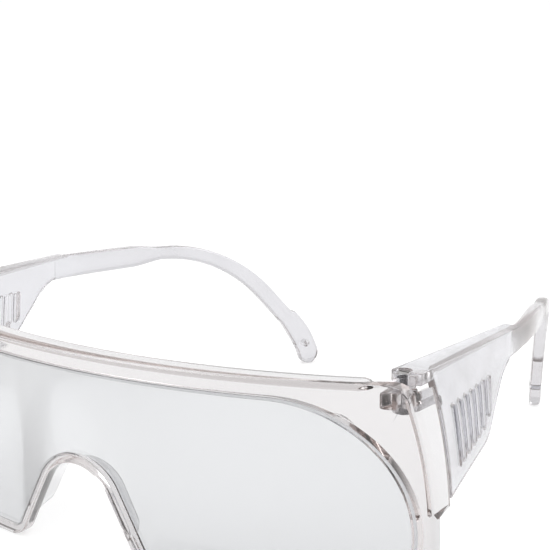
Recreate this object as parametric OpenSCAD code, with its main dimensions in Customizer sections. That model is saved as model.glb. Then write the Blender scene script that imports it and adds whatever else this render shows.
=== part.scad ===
// Clear over-spectacles: a wrap-round front with a seated lens, and two folding
// temples with vented side shields. Millimetres, +Z up, the front faces -Y.
// Places along Y are measured back from the middle of the brow, heights from the table.

/* [Front] */
// Height of the front above the table
front_h = 46.4; // [44:0.2:50]
// Radius of the front's wrap, seen from above
wrap_r = 150; // [140:1:165]
// Thickness of the front's rim
plate_t = 3.2; // [2.8:0.1:3.8]
// Half width of the front at its top edge
top_half_w = 70.6; // [68:0.1:73]
// How far each side swells past the top edge
side_bulge = 5.7; // [4.5:0.1:7]
// Radius of the two lower corners
lower_corner_r = 12; // [10:0.5:15]
// Radius of the two upper corners
upper_corner_r = 4; // [2:0.5:6]
// Depth of the brow's flat top, from front to back
brow_depth = 5.6; // [4.5:0.1:7]
// Thickness of the brow's flat top
brow_t = 2; // [1.5:0.1:2.6]

/* [Lens and its seat] */
// Height of the rim above the window
brow_h = 4.7; // [4:0.1:7]
// Width of the rim beside the window
side_rim_w = 3.7; // [3.4:0.1:6]
// Radius of the window's upper corners
window_corner_r = 28; // [22:0.5:30]
// Width of the rim under the window and beside the nose
low_rim_w = 2.2; // [2.2:0.1:3]
// Thickness of the lip in front of the lens
lip_t = 1.2; // [1:0.1:1.5]
// Width of the lip that the lens seats against
lip_w = 0.6; // [0.5:0.1:0.9]
// Gap between the lens and its seat
seat_gap = 0.05; // [0.02:0.01:0.1]
// Radius of the catches that hold the lens in
catch_r = 1.6; // [1.3:0.1:2]
// Height of the catches behind the lens
catch_h = 0.8; // [0.5:0.1:1.2]
// Angle of the upper catches round the window's corners
upper_catch_a = 61; // [50:1:75]
// Angle of the lower catches round the window's corners
lower_catch_a = 52; // [40:1:65]

/* [Nose] */
// Height of the top of the nose arch
nose_top_z = 21.2; // [19:0.2:24]
// Radius of the nose arch
nose_r = 10; // [9:0.1:11]
// Angle of the nose's flanks from upright
nose_spread = 28; // [22:1:32]
// Radius at the foot of each flank
foot_r = 6; // [5:0.5:8]
// Thickness of the nose flange
nose_flange_t = 0.9; // [0.8:0.1:1]
// How far the nose flange stands out behind the rim
nose_flange_depth = 4.5; // [3:0.5:6]
// Step of the nose flange in from the rim's edge
nose_step = 0.2; // [0.1:0.1:0.5]

/* [Sides of the front] */
// How far the side walls run past the hinge axis
side_past_hinge = 3.9; // [3.4:0.1:6]
// Thickness of the side walls
side_t = 2; // [1.6:0.1:2.4]
// Height of the side walls' lower edge
side_bottom_z = 18; // [16:0.5:20]
// Step of the side walls in from the rim's edge
side_step = 0.3; // [0.2:0.1:0.5]

/* [Hinge] */
// Distance of the hinge axis in from the front's top corner
hinge_inset = 4.1; // [3.8:0.1:4.6]
// Distance of the hinge axis behind the tongue's end
hinge_set = 0.8; // [0.4:0.1:1.2]
// Radius of the hinge barrel and ears
barrel_r = 2.4; // [2.2:0.1:2.6]
// Height of the front's barrel
barrel_h = 3.4; // [3:0.1:4]
// Height of the ear above the barrel
top_ear_h = 2.7; // [2.5:0.1:3.2]
// Height of the ear below the barrel
low_ear_h = 2; // [1.8:0.1:2.6]
// Gap between the barrel and each ear
hinge_gap = 0.2; // [0.1:0.05:0.3]
// Width of the web that carries the barrel from the rim
web_w = 3.4; // [3:0.1:4]
// Width of the web that carries the barrel from the side wall
side_web_w = 3.4; // [3:0.1:4]
// Distance of that web in front of the hinge axis
side_web_set = 1; // [0.5:0.1:1.5]
// Radius of the screw's shank
screw_r = 0.9; // [0.7:0.05:1]
// Radius of the screw's head
head_r = 1.6; // [1.4:0.1:1.9]
// Height of the screw's head
head_h = 1; // [0.7:0.1:1.2]
// Width of the slot in the screw's head
slot_w = 0.5; // [0.3:0.1:0.7]
// Running clearance round the screw in the barrel
running_gap = 0.05; // [0.02:0.01:0.09]

/* [Temple flange] */
// Gap between the front's top corner and the tongue over the hinge
tongue_gap = 3.6; // [3:0.1:4.4]
// Width of the flange over the hinge
flange_front_w = 7; // [6:0.1:7.5]
// Width of the flange at its rear end
flange_rear_w = 4.2; // [3.6:0.1:4.8]
// Height of the flange at its rear end
flange_rear_h = 0.5; // [0.3:0.1:1]
// Fall of the flange from the hinge to the arm
flange_fall = 1; // [0.6:0.1:2]
// Length over which the tongue deepens into the side shield
tongue_run = 2; // [1.5:0.5:4]
// How far the flange stands out past the side shield
flange_proud = 0.4; // [0.3:0.1:0.6]
// Step of the hinge ear and the screw below the flange's top
ear_drop = 0.4; // [0.2:0.1:0.6]
// Angle at which each temple runs inwards
toe_in = 1; // [0:0.1:1.5]

/* [Side shield] */
// Gap between the front's side wall and the side shield
joint_gap = 0.5; // [0.4:0.1:0.8]
// Length of the side shield along its top
shield_len = 42.4; // [40:0.2:46]
// Thickness of the side shield
shield_t = 1.8; // [1.4:0.1:2.2]
// Height of the side shield's lower edge at its front end
shield_bottom_z = 20; // [18:0.5:22]
// Slope of the side shield's lower edge
shield_sweep = 11; // [8:1:14]
// Slope of the side shield's rear edge
shield_slope = 50; // [46:1:54]
// Radius of the side shield's lower rear corner
shield_corner_r = 10; // [8:0.5:12]
// Radius between the side shield and the arm
arm_corner_r = 10; // [8:0.5:12]
// Number of vent slots
vents = 7; // [5:1:8]
// Distance of the first vent slot behind the shield's front edge
vent_set = 6.5; // [6:0.1:8]
// Spacing of the vent slots
vent_pitch = 3.35; // [3:0.05:3.5]
// Width of each vent slot
vent_w = 1.5; // [1.2:0.1:1.7]
// Drop of the top of the first vent slot below the hinge's top
vent_drop = 9.2; // [8.5:0.1:10.5]
// Rise of each vent slot's top over the one before
vent_rise = 0.15; // [0:0.05:0.3]
// Height of each vent slot's bottom above the shield's lower edge
vent_margin = 3.3; // [2.5:0.1:4]
// Radius of the ribs between the vent slots
rib_r = 0.6; // [0.4:0.05:0.65]

/* [Arm] */
// Height of the arm's section at the shield
arm_h = 6.8; // [6:0.1:7.5]
// Height of the arm's section where its taper begins
arm_rear_h = 6; // [5.2:0.1:6.8]
// Height of the arm's section at its waist, behind the taper
waist_h = 3.7; // [3.2:0.1:4.2]
// Height of the arm's section on the hook
hook_h = 4.9; // [4.3:0.1:5.5]
// Distance along the arm at which its taper begins
taper_start = 27; // [23:1:30]
// Length of the taper
taper_len = 11; // [8:1:14]
// Thickness of the arm at the shield
arm_t = 3; // [2.6:0.1:3.4]
// Thickness of the arm at the tip
tip_t = 3.2; // [2.6:0.1:3.6]
// Chamfer along the arm's edges
arm_chamfer = 0.6; // [0.3:0.1:0.8]
// Length of the level part of the arm
arm_level = 37; // [30:1:44]
// Angle at which the arm leaves the shield, seen from above
arm_turn_start = 7; // [5:0.5:9]
// Angle of the hook, seen from above
arm_turn_end = 26; // [22:0.5:29]
// Radius of the arm's inward curve
arm_turn_r = 200; // [180:5:230]
// Slope of the level part
arm_fall = 1.8; // [0.5:0.1:3]
// Radius of the bend behind the ear
bend_r = 52; // [46:1:58]
// Slope of the hook
hook_slope = 48; // [44:1:52]
// Radius of the curve into the tip
tip_bend_r = 28; // [24:1:34]
// Slope of the tip
tip_slope = 72; // [66:1:80]
// Length of the widened tip
paddle_len = 16; // [13:0.5:19]
// Length of the shoulder above the widened tip
shoulder_len = 2; // [1:0.5:4]
// Half width of the tip, which is also the radius of its end
paddle_r = 3.3; // [2.9:0.1:3.8]
// Radius of the neck-cord hole
cord_r = 1.1; // [0.8:0.1:1.3]
// Distance of the cord hole from the end of the tip
cord_from_end = 7; // [6:0.5:9]

/* [Hidden] */
$fn = 48;
wrap_fn = 360;
rib_fn = 24;
arc_steps = 20;
corner_steps = 10;
clear_plastic = [0.90, 0.92, 0.93, 0.35];
clear_lens = [0.88, 0.91, 0.93, 0.25];
milky_plastic = [0.93, 0.94, 0.95, 0.45];
steel = [0.45, 0.45, 0.47];

// Overlap that fuses neighbouring shapes of one piece
fuse = 0.5;
// Overshoot of a cutting shape past what it cuts
cut = 1;

function lerp(a, b, t) = a + (b - a) * t;
function clamp01(t) = max(0, min(1, t));
function reversed(points) = [for (i = [len(points) - 1:-1:0]) points[i]];
function mirrored(points) = [for (p = reversed(points)) if (p[0] > 0) [-p[0], p[1]]];

// Height of a circle over a run from its centre
function rise(r, run) = sqrt(r * r - run * run);

// Round stretch of an outline, in steps from one angle to another
function arc(c, r, a0, a1, n = arc_steps) =
    [for (i = [0:n]) let (a = lerp(a0, a1, i / n)) c + r * [cos(a), sin(a)]];

// The swelling side of the front is an arc that is upright at the lower corner
side_rise = front_h - lower_corner_r;
side_r = (side_rise * side_rise + side_bulge * side_bulge) / (2 * side_bulge);
side_centre = [top_half_w + side_bulge - side_r, lower_corner_r];
front_half_w = top_half_w + side_bulge;
function side_edge(z) = side_centre[0] + rise(side_r, z - side_centre[1]);

// Back of the rim at a distance from the middle
function rim_back(x) = wrap_r - rise(wrap_r - plate_t, x);
side_back = rim_back(front_half_w);

// Places of the hinge and of what follows it, from front to back
tongue_y = rim_back(top_half_w) + tongue_gap;
hinge_x = top_half_w - hinge_inset;
hinge_y = tongue_y + hinge_set;
side_end_y = hinge_y + side_past_hinge;
shield_start_y = side_end_y + joint_gap;
shield_end_y = shield_start_y + shield_len;

// Heights of the hinge's parts, from the barrel outwards
barrel_top = front_h - brow_t - hinge_gap;
barrel_bottom = barrel_top - barrel_h;
top_ear_z = barrel_top + hinge_gap;
hinge_top = top_ear_z + top_ear_h;
low_ear_top = barrel_bottom - hinge_gap;
low_ear_bottom = low_ear_top - low_ear_h;
head_z = hinge_top - ear_drop - head_h;

// Right half of the nose, from the foot up to the arch, set back from its edge by inset
nose_centre_z = nose_top_z - nose_r;
flank_top = [nose_r * cos(nose_spread), nose_centre_z + nose_r * sin(nose_spread)];
flank_len = (flank_top[1] + foot_r * sin(nose_spread) - foot_r) / cos(nose_spread);
foot_x = flank_top[0] + flank_len * sin(nose_spread) + foot_r * cos(nose_spread);
function nose_foot(inset) =
    arc([foot_x, foot_r], foot_r - inset, 270, 180 + nose_spread, corner_steps);
function nose_arch(inset) =
    arc([0, nose_centre_z], nose_r + inset, nose_spread, 90, corner_steps);

// Outline of the front, seen along Y, whose side arc starts and ends a degree inside its corners
upper_corner_z = front_h - upper_corner_r;
upper_corner_x = side_centre[0] + rise(side_r - upper_corner_r, upper_corner_z - side_centre[1]);
upper_corner_a = atan2(upper_corner_z - side_centre[1], upper_corner_x - side_centre[0]);
lower_corner_x = front_half_w - lower_corner_r;
front_half = concat(
    arc([upper_corner_x, upper_corner_z], upper_corner_r, 90, upper_corner_a, corner_steps),
    arc(side_centre, side_r, upper_corner_a - 1, 1),
    arc([lower_corner_x, lower_corner_r], lower_corner_r, 0, -90, corner_steps),
    nose_foot(0),
    nose_arch(0));
front_outline = concat(front_half, mirrored(front_half));

// Outline of the window, or of the lens and its seat when it is grown
window_half_w = front_half_w - side_rim_w;
window_centre_z = front_h - brow_h - window_corner_r;
window_low_r = window_centre_z - low_rim_w;
window_corner = [window_half_w - window_corner_r, window_centre_z];
window_low_corner = [window_half_w - window_low_r, window_centre_z];
function window_half(grow) = concat(
    arc(window_corner, window_corner_r + grow, 90, 0),
    arc(window_low_corner, window_low_r + grow, -1, -90, corner_steps),
    nose_foot(low_rim_w - grow),
    nose_arch(low_rim_w - grow));
function window_outline(grow) = concat(window_half(grow), mirrored(window_half(grow)));

// Outer face of the side shield, which swells like the front's side and ends upright
function temple_x(y) = top_half_w - tan(toe_in) * (y - shield_start_y);
function swell_share(y) = clamp01((shield_end_y - y) / shield_len);
function shield_x(y, z) = temple_x(y) - side_step + swell_share(y) * (side_edge(z) - top_half_w);

// The arm's top, and the lap of the side shield's lower edge into the arm
arm_top_z = hinge_top - flange_fall;
arm_bottom_z = arm_top_z - arm_h + fuse;

// Lower edge of the side shield: sweeping up, round, sloping and round again into the arm
slope_end = [
    shield_end_y - arm_corner_r * sin(shield_slope),
    arm_bottom_z - arm_corner_r * (1 - cos(shield_slope))];
corner_run = shield_corner_r * (sin(shield_slope) - sin(shield_sweep));
corner_drop = shield_corner_r * (cos(shield_sweep) - cos(shield_slope));
sweep_rise = tan(shield_sweep) * (slope_end[0] - corner_run - shield_start_y);
slope_run = (slope_end[1] - corner_drop - sweep_rise - shield_bottom_z)
    / (tan(shield_slope) - tan(shield_sweep));
slope_start = slope_end - slope_run * [1, tan(shield_slope)];
corner_centre = slope_start + shield_corner_r * [-sin(shield_slope), cos(shield_slope)];
sweep_end_y = corner_centre[0] + shield_corner_r * sin(shield_sweep);
function shield_low(y) =
    y < sweep_end_y ? shield_bottom_z + (y - shield_start_y) * tan(shield_sweep) :
    y < slope_start[0] ? corner_centre[1] - rise(shield_corner_r, y - corner_centre[0]) :
    y < slope_end[0] ? slope_end[1] - (slope_end[0] - y) * tan(shield_slope) :
    arm_bottom_z - arm_corner_r + rise(arm_corner_r, shield_end_y - y);

// Section of the flange along the temple's top
flange_low_z = arm_top_z - flange_rear_h;
function flange_share(y) = (y - tongue_y) / (shield_end_y - tongue_y);
function flange_w(y) = lerp(flange_front_w, flange_rear_w, flange_share(y));
function flange_top(y) = lerp(hinge_top, arm_top_z, flange_share(y));
function flange_low(y) = lerp(top_ear_z, flange_low_z, clamp01((y - shield_start_y) / tongue_run));

// The arm's route: heights from a side curve, places from a curve seen from above
arm_lap = 2;
arm_inset = 0.1;
arm_start = [
    temple_x(shield_end_y) - side_step - arm_inset - arm_t / 2,
    shield_end_y - arm_lap,
    arm_top_z - arm_h / 2];
arm_turn_len = arm_turn_r * (arm_turn_end - arm_turn_start) * PI / 180;
bend_len = bend_r * (hook_slope - arm_fall) * PI / 180;
tip_len = tip_bend_r * (tip_slope - hook_slope) * PI / 180;
level_drop = arm_level * sin(arm_fall);
bend_drop = bend_r * (cos(arm_fall) - cos(hook_slope));
tip_drop = tip_bend_r * (cos(hook_slope) - cos(tip_slope));
shank_len = (arm_start[2] - level_drop - bend_drop - tip_drop - paddle_r) / sin(hook_slope);
hook_s = arm_level + bend_len;
tip_s = hook_s + shank_len;
end_s = tip_s + tip_len;
function route_slope(s) =
    s <= arm_level ? arm_fall :
    s <= hook_s ? lerp(arm_fall, hook_slope, (s - arm_level) / bend_len) :
    s <= tip_s ? hook_slope :
    lerp(hook_slope, tip_slope, clamp01((s - tip_s) / tip_len));
function route_run(s) =
    s <= arm_level ? s * cos(arm_fall) :
    s <= hook_s ? route_run(arm_level) + bend_r * (sin(route_slope(s)) - sin(arm_fall)) :
    s <= tip_s ? route_run(hook_s) + (s - hook_s) * cos(hook_slope) :
    s <= end_s ? route_run(tip_s) + tip_bend_r * (sin(route_slope(s)) - sin(hook_slope)) :
    route_run(end_s) + (s - end_s) * cos(tip_slope);
function route_drop(s) =
    s <= arm_level ? s * sin(arm_fall) :
    s <= hook_s ? level_drop + bend_r * (cos(arm_fall) - cos(route_slope(s))) :
    s <= tip_s ? route_drop(hook_s) + (s - hook_s) * sin(hook_slope) :
    s <= end_s ? route_drop(tip_s) + tip_bend_r * (cos(hook_slope) - cos(route_slope(s))) :
    route_drop(end_s) + (s - end_s) * sin(tip_slope);
function turn_at(run) = lerp(arm_turn_start, arm_turn_end, clamp01(run / arm_turn_len));
function past_turn(run) = max(0, run - arm_turn_len);
function turn_x(run) =
    arm_turn_r * (cos(turn_at(run)) - cos(arm_turn_start)) - past_turn(run) * sin(arm_turn_end);
function turn_y(run) =
    arm_turn_r * (sin(turn_at(run)) - sin(arm_turn_start)) + past_turn(run) * cos(arm_turn_end);
function arm_point(s) =
    let (run = route_run(s))
    arm_start + [turn_x(run), turn_y(run), -route_drop(s)];
function arm_side(s) =
    let (a = turn_at(route_run(s)))
    [cos(a), sin(a), 0];
function arm_up(s) =
    let (a = turn_at(route_run(s)), p = route_slope(s))
    [-sin(a) * sin(p), cos(a) * sin(p), cos(p)];

// Section of the arm, square to its route, widened into the tip and rounded at its end
paddle_s = end_s - paddle_len;
cord_s = end_s + paddle_r - cord_from_end;
function paddle_share(s, run) = clamp01((s - paddle_s) / run);
function end_share(s) = s <= end_s ? 1 : rise(paddle_r, s - end_s) / paddle_r;
function body_h(s) =
    lookup(s, [[0, arm_h], [taper_start, arm_rear_h], [taper_start + taper_len, waist_h], [hook_s, hook_h]]);
function arm_low(s) = -end_share(s) * lerp(body_h(s) / 2, paddle_r, paddle_share(s, paddle_len / 2));
function arm_high(s) = end_share(s) * lerp(body_h(s) / 2, paddle_r, paddle_share(s, shoulder_len));
function arm_section(s) =
    let (t = lerp(arm_t, tip_t, clamp01(s / hook_s)) / 2, lo = arm_low(s), hi = arm_high(s))
    let (c = min(arm_chamfer, (hi - lo) / 4))
    [for (q = [[-t, lo + c], [c - t, lo], [t - c, lo], [t, lo + c],
               [t, hi - c], [t - c, hi], [c - t, hi], [-t, hi - c]])
        arm_point(s) + q[0] * arm_side(s) + q[1] * arm_up(s)];
arm_step = 3;
paddle_step = 1;
end_steps = [0.3, 0.6, 0.82, 0.95, 0.99];
arm_stations = concat(
    [for (s = [0:arm_step:paddle_s - paddle_step]) s],
    [for (s = [paddle_s:paddle_step:end_s]) s],
    [for (share = end_steps) end_s + share * paddle_r]);
arm_sections = [for (s = arm_stations) arm_section(s)];
overall_depth = max([for (section = arm_sections) max([for (p = section) p[1]])]);

// Solid through a row of sections that have the same number of points
module loft(sections) {
    n = len(sections[0]);
    last = len(sections) - 1;
    points = [for (section = sections) each section];
    sides = [for (i = [0:last - 1], j = [0:n - 1])
        let (k = (j + 1) % n, a = i * n, b = a + n)
        each [[a + j, b + k, b + j], [a + j, a + k, b + k]]];
    rungs = [for (j = [0:n / 2 - 2]) each [[j, j + 1, n - 2 - j], [j, n - 2 - j, n - 1 - j]]];
    first_cap = [for (t = rungs) reversed(t)];
    last_cap = [for (t = rungs) t + [1, 1, 1] * last * n];
    polyhedron(points, concat(sides, first_cap, last_cap), convexity = 8);
}

// Puts the origin under the middle of the whole
module placed() {
    translate([0, -overall_depth / 2, 0]) children();
}

module both_sides() {
    children();
    mirror([1, 0, 0]) children();
}

// Slab of an X-Z outline between two places along Y
module slab(outline, y0, y1) {
    translate([0, y1, 0]) rotate([90, 0, 0]) linear_extrude(y1 - y0) polygon(outline);
}

// Round block inside the front's wrap, a depth behind its face
module wrap_block(depth, bottom, top) {
    translate([0, wrap_r, bottom]) cylinder(r = wrap_r - depth, h = top - bottom, $fn = wrap_fn);
}

// Curved layer of the front between two depths behind its face
module wrap_layer(outline, near, far) {
    intersection() {
        slab(outline, -cut, side_back + far);
        difference() {
            wrap_block(near, -cut, front_h + cut);
            wrap_block(far, -2 * cut, front_h + 2 * cut);
        }
    }
}

module rim() {
    difference() {
        wrap_layer(front_outline, 0, plate_t);
        slab(window_outline(0), -2 * cut, side_back + cut);
        wrap_layer(window_outline(lip_w), lip_t, plate_t + cut);
    }
}

// Flat top of the brow, behind the rim
module brow() {
    reach = upper_corner_x - plate_t;
    intersection() {
        difference() {
            wrap_block(plate_t - fuse, front_h - brow_t, front_h);
            wrap_block(brow_depth, front_h - brow_t - cut, front_h + cut);
        }
        translate([-reach, 0, 0]) cube([2 * reach, side_back + brow_depth, front_h]);
    }
}

// Half of one edge of the nose flange, from above the foot to the middle
function nose_edge(inset) = concat([nose_foot(inset)[corner_steps]], nose_arch(inset));

module nose_flange() {
    near_half = nose_edge(nose_step);
    far_half = nose_edge(nose_step + nose_flange_t);
    near = concat(near_half, mirrored(near_half));
    far = concat(far_half, mirrored(far_half));
    intersection() {
        slab(concat(near, reversed(far)), 0, plate_t + nose_flange_depth);
        wrap_block(fuse, 0, front_h);
    }
}

// Side wall that runs back from the rim's edge towards the temple
module side_wall() {
    low_a = asin((side_bottom_z - side_centre[1]) / side_r);
    high_a = asin((barrel_top - side_centre[1]) / side_r);
    outline = concat(
        arc(side_centre, side_r - side_step, low_a, high_a),
        arc(side_centre, side_r - side_step - side_t, high_a, low_a));
    intersection() {
        slab(outline, 0, side_end_y);
        wrap_block(fuse, 0, front_h);
    }
}

// Catch that overlaps the lens's edge from behind, at an angle round a window corner
module lens_catch(centre, r, angle) {
    spot = centre + (r + lip_w) * [cos(angle), sin(angle)];
    disc = arc(spot, catch_r, 0, 360 - 360 / arc_steps, arc_steps - 1);
    difference() {
        wrap_layer(disc, plate_t - fuse, plate_t + catch_h);
        wrap_layer(window_outline(lip_w), lip_t, plate_t + seat_gap);
    }
}

module lens_catches() {
    lens_catch(window_corner, window_corner_r, upper_catch_a);
    lens_catch(window_low_corner, window_low_r, -lower_catch_a);
}

// Barrel of the hinge, carried on webs from the rim and the side wall
module hinge_barrel() {
    web_len = hinge_y - rim_back(hinge_x) + fuse;
    side_web_len = side_edge(barrel_bottom) - side_step - side_t + fuse / 2 - hinge_x;
    translate([hinge_x, hinge_y, barrel_bottom]) {
        cylinder(r = barrel_r, h = barrel_h);
        translate([-web_w / 2, -web_len, 0]) cube([web_w, web_len, barrel_h]);
        translate([0, -side_web_set - side_web_w, 0]) cube([side_web_len, side_web_w, barrel_h]);
    }
}

module barrel_bore() {
    translate([hinge_x, hinge_y, barrel_bottom - cut])
        cylinder(r = screw_r + running_gap, h = barrel_h + 2 * cut);
}

module front_frame() {
    color(clear_plastic) placed() difference() {
        union() {
            rim();
            brow();
            nose_flange();
            both_sides() {
                side_wall();
                lens_catches();
                hinge_barrel();
            }
        }
        both_sides() barrel_bore();
    }
}

module lens() {
    color(clear_lens) placed()
        wrap_layer(window_outline(lip_w - seat_gap), lip_t + seat_gap, plate_t);
}

// Flange along the temple's top, with the tongue over the hinge
flange_stations = [tongue_y, shield_start_y, shield_start_y + tongue_run, shield_end_y + arm_lap / 2];
module flange() {
    loft([for (y = flange_stations)
        let (outer = temple_x(y) + flange_proud - side_step, inner = outer - flange_w(y))
        let (low = flange_low(y), top = flange_top(y))
        [[inner, y, low], [outer, y, low], [outer, y, top], [inner, y, top]]]);
}

// Curved panel under the flange
shield_levels = 6;
shield_steps = 36;
module shield_panel() {
    loft([for (i = [0:shield_steps])
        let (y = lerp(shield_start_y, shield_end_y, i / shield_steps))
        let (low = shield_low(y), top = flange_low_z + flange_rear_h / 2)
        let (levels = [for (j = [0:shield_levels]) lerp(low, top, j / shield_levels)])
        concat(
            [for (z = levels) [shield_x(y, z), y, z]],
            [for (z = reversed(levels)) [shield_x(y, z) - shield_t, y, z]])]);
}

function vent_y(i) = shield_start_y + vent_set + i * vent_pitch;
function vent_top(i) = hinge_top - vent_drop + i * vent_rise;
function vent_low(i) = shield_low(vent_y(i)) + vent_margin;

// Upright slot with round ends, through the side shield
module vent_slot(i) {
    low = vent_low(i) + vent_w / 2;
    high = vent_top(i) - vent_w / 2;
    reach = side_bulge + 4 * shield_t;
    translate([top_half_w - 2 * shield_t, vent_y(i), 0]) {
        translate([0, -vent_w / 2, low]) cube([reach, vent_w, high - low]);
        for (z = [low, high]) translate([0, 0, z]) rotate([0, 90, 0]) cylinder(d = vent_w, h = reach);
    }
}

// Half-round rib on the outside of the shield, between two slots
module vent_rib(i) {
    y = vent_y(i) - vent_pitch / 2;
    low = [shield_x(y, vent_low(i)), y, vent_low(i)];
    span = [shield_x(y, vent_top(i)), y, vent_top(i)] - low;
    translate(low) rotate([0, atan2(span[0], span[2]), 0])
        cylinder(r = rib_r, h = norm(span), $fn = rib_fn);
}

// Ear above the barrel, under the tongue
module top_ear() {
    ear_h = top_ear_h - ear_drop;
    translate([hinge_x, hinge_y, top_ear_z]) {
        cylinder(r = barrel_r, h = ear_h);
        translate([0, -web_w / 2, 0]) cube([flange_front_w / 2, web_w, ear_h]);
    }
}

// Ear below the barrel, with its web out to the side shield
module low_ear() {
    web_y = shield_start_y - hinge_y;
    side_web_len = shield_x(shield_start_y, low_ear_bottom) - shield_t / 2 - hinge_x;
    translate([hinge_x, hinge_y, low_ear_bottom]) {
        cylinder(r = barrel_r, h = low_ear_h);
        translate([-barrel_r, 0, 0]) cube([2 * barrel_r, web_y + barrel_r, low_ear_h]);
        translate([-barrel_r, web_y, 0]) cube([barrel_r + side_web_len, barrel_r, low_ear_h]);
    }
}

// Bores for the screw: tight in the lower ear, free in the upper one, and the head's recess
module screw_bores() {
    translate([hinge_x, hinge_y, 0]) {
        translate([0, 0, low_ear_bottom - cut]) cylinder(r = screw_r, h = low_ear_h + 2 * cut);
        translate([0, 0, top_ear_z - cut]) cylinder(r = screw_r + running_gap, h = top_ear_h + 2 * cut);
        translate([0, 0, head_z]) cylinder(r = head_r + running_gap, h = head_h + ear_drop + cut);
    }
}

// Neck-cord hole through the tip
module cord_hole() {
    translate(arm_point(cord_s)) rotate([0, 90, turn_at(route_run(cord_s))])
        cylinder(r = cord_r, h = tip_t + 2 * cut, center = true);
}

module temple() {
    difference() {
        union() {
            flange();
            shield_panel();
            loft(arm_sections);
            top_ear();
            low_ear();
            for (i = [1:vents - 1]) vent_rib(i);
        }
        for (i = [0:vents - 1]) vent_slot(i);
        screw_bores();
        cord_hole();
    }
}

module hinge_screw() {
    difference() {
        translate([hinge_x, hinge_y, 0]) {
            translate([0, 0, low_ear_bottom]) cylinder(r = screw_r, h = head_z + head_h / 2 - low_ear_bottom);
            translate([0, 0, head_z]) cylinder(r = head_r, h = head_h);
        }
        translate([hinge_x - head_r - cut, hinge_y - slot_w / 2, head_z + head_h / 2])
            cube([2 * head_r + 2 * cut, slot_w, head_h]);
    }
}

module right_temple() {
    color(milky_plastic) placed() temple();
}

module left_temple() {
    color(milky_plastic) placed() mirror([1, 0, 0]) temple();
}

module right_hinge_screw() {
    color(steel) placed() hinge_screw();
}

module left_hinge_screw() {
    color(steel) placed() mirror([1, 0, 0]) hinge_screw();
}

front_frame();
lens();
right_temple();
left_temple();
right_hinge_screw();
left_hinge_screw();
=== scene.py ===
"""Looks of the clear over-spectacles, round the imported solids. Metres, +Z up, the front faces -Y."""
import math
from functools import cache

import bmesh
import bpy
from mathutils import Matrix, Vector


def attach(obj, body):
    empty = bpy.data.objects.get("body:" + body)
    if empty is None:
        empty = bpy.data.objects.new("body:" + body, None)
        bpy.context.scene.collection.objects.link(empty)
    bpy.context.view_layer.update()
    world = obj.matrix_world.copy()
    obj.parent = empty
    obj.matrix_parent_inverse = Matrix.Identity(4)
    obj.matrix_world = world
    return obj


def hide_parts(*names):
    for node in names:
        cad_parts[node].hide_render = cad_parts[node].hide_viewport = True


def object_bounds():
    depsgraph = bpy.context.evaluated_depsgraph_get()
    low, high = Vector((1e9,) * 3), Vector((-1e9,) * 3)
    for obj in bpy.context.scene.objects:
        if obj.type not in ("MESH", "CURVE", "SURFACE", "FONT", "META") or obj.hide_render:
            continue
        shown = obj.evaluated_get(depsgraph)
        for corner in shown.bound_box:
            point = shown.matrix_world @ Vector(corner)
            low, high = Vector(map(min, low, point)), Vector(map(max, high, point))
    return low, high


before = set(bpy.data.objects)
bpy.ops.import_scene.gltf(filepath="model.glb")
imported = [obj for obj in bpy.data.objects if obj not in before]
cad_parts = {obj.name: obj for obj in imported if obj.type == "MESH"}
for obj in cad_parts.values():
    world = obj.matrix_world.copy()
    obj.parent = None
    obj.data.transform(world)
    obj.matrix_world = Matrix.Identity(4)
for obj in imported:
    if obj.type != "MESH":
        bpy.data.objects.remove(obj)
cad_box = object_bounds()

# Sizes in millimetres: Y back from the middle of the brow, Z up from the table
MM = 0.001
BROW_Y = cad_box[0].y

FRONT_H = 46.4
WRAP_R = 150
PLATE_T = 3.2
TOP_HALF_W = 70.6
SIDE_BULGE = 5.7
LOWER_CORNER_R = 12
UPPER_CORNER_R = 4
BROW_DEPTH = 5.6
BROW_T = 2

BROW_H = 4.7
SIDE_RIM_W = 3.7
WINDOW_CORNER_R = 28
LOW_RIM_W = 2.2
LIP_T = 1.2
LIP_W = 0.6
SEAT_GAP = 0.05
CATCH_R = 1.6
CATCH_H = 0.8
UPPER_CATCH_A = 61
LOWER_CATCH_A = 52

NOSE_TOP_Z = 21.2
NOSE_R = 10
NOSE_SPREAD = 28
FOOT_R = 6
NOSE_FLANGE_T = 0.9
NOSE_FLANGE_DEPTH = 4.5
NOSE_STEP = 0.2

SIDE_PAST_HINGE = 3.9
SIDE_T = 2
SIDE_BOTTOM_Z = 18
SIDE_STEP = 0.3

HINGE_INSET = 4.1
HINGE_SET = 0.8
BARREL_R = 2.4
BARREL_H = 3.4
TOP_EAR_H = 2.7
LOW_EAR_H = 2
HINGE_GAP = 0.2
WEB_W = 3.4
SIDE_WEB_W = 3.4
SIDE_WEB_SET = 1
SCREW_R = 0.9
HEAD_R = 1.6
HEAD_H = 1
SLOT_W = 0.5
RUNNING_GAP = 0.05

TONGUE_GAP = 3.6
FLANGE_FRONT_W = 7
FLANGE_REAR_W = 4.2
FLANGE_REAR_H = 0.5
FLANGE_FALL = 1
TONGUE_RUN = 2
FLANGE_PROUD = 0.4
EAR_DROP = 0.4
TOE_IN = 1

JOINT_GAP = 0.5
SHIELD_LEN = 42.4
SHIELD_T = 1.8
SHIELD_BOTTOM_Z = 20
SHIELD_SWEEP = 11
SHIELD_SLOPE = 50
SHIELD_CORNER_R = 10
ARM_CORNER_R = 10
VENTS = 7
VENT_SET = 6.5
VENT_PITCH = 3.35
VENT_W = 1.5
VENT_DROP = 9.2
VENT_RISE = 0.15
VENT_MARGIN = 3.3
RIB_R = 0.6

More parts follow.
